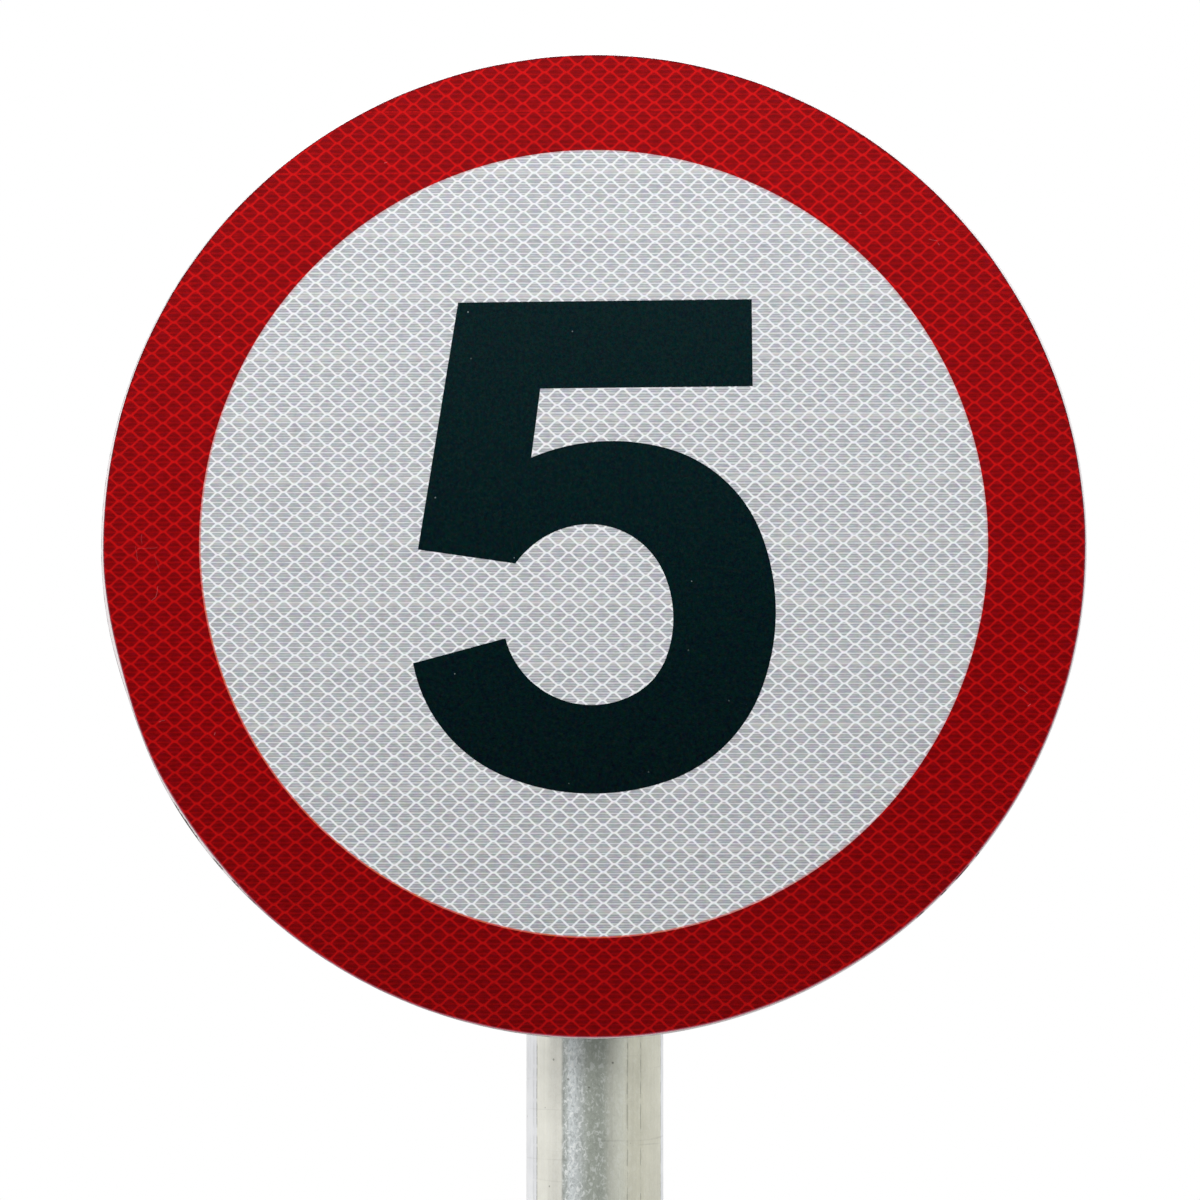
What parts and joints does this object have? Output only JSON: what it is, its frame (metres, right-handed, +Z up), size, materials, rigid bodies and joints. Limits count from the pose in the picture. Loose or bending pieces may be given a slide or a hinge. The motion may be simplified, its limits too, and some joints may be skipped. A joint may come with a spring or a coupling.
{
  "type": "speed limit sign",
  "caption": "Round speed limit sign with a red border and a numeral on prismatic sheeting, held by T-slot channels and saddle clips on a galvanised tube post.",
  "frame": {"origin": "middle of the post's foot, on the post's axis", "axes": "+Z up the post, -Y out of the sign's face towards the reader, +X to the reader's right"},
  "size_m": [0.4499, 0.0825, 1.535],
  "materials": {
    "mill_aluminium": "mill finish sheet, satin",
    "prismatic_sheeting": "prismatic reflective sheeting with a raised diamond lattice",
    "red_film": "transparent red overlay film, glossy",
    "black_film": "opaque black film, semi-gloss",
    "extruded_aluminium": "as extruded, fine die lines",
    "foam_tape": "closed-cell acrylic foam, matt",
    "galvanised_steel": "hot-dip galvanised, semi-bright with spangle and fine runs",
    "zinc_plated_steel": "bright zinc plate",
    "cap_plastic": "moulded polyethylene, fine texture"
  },
  "bodies": {
    "root": {"sign_plate": "mill_aluminium", "white_sheeting": "prismatic_sheeting", "red_border_film": "red_film", "black_numeral": "black_film", "post": "galvanised_steel", "post_cap": "cap_plastic", "upper_channel": "extruded_aluminium", "lower_channel": "extruded_aluminium", "upper_top_tape": "foam_tape", "upper_bottom_tape": "foam_tape", "lower_top_tape": "foam_tape", "lower_bottom_tape": "foam_tape", "upper_clip": "extruded_aluminium", "lower_clip": "extruded_aluminium", "upper_left_bolt": "zinc_plated_steel", "upper_right_bolt": "zinc_plated_steel", "lower_left_bolt": "zinc_plated_steel", "lower_right_bolt": "zinc_plated_steel", "upper_left_washer": "zinc_plated_steel", "upper_right_washer": "zinc_plated_steel", "lower_left_washer": "zinc_plated_steel", "lower_right_washer": "zinc_plated_steel", "upper_left_nut": "zinc_plated_steel", "upper_right_nut": "zinc_plated_steel", "lower_left_nut": "zinc_plated_steel", "lower_right_nut": "zinc_plated_steel"}
  },
  "joints": []
}
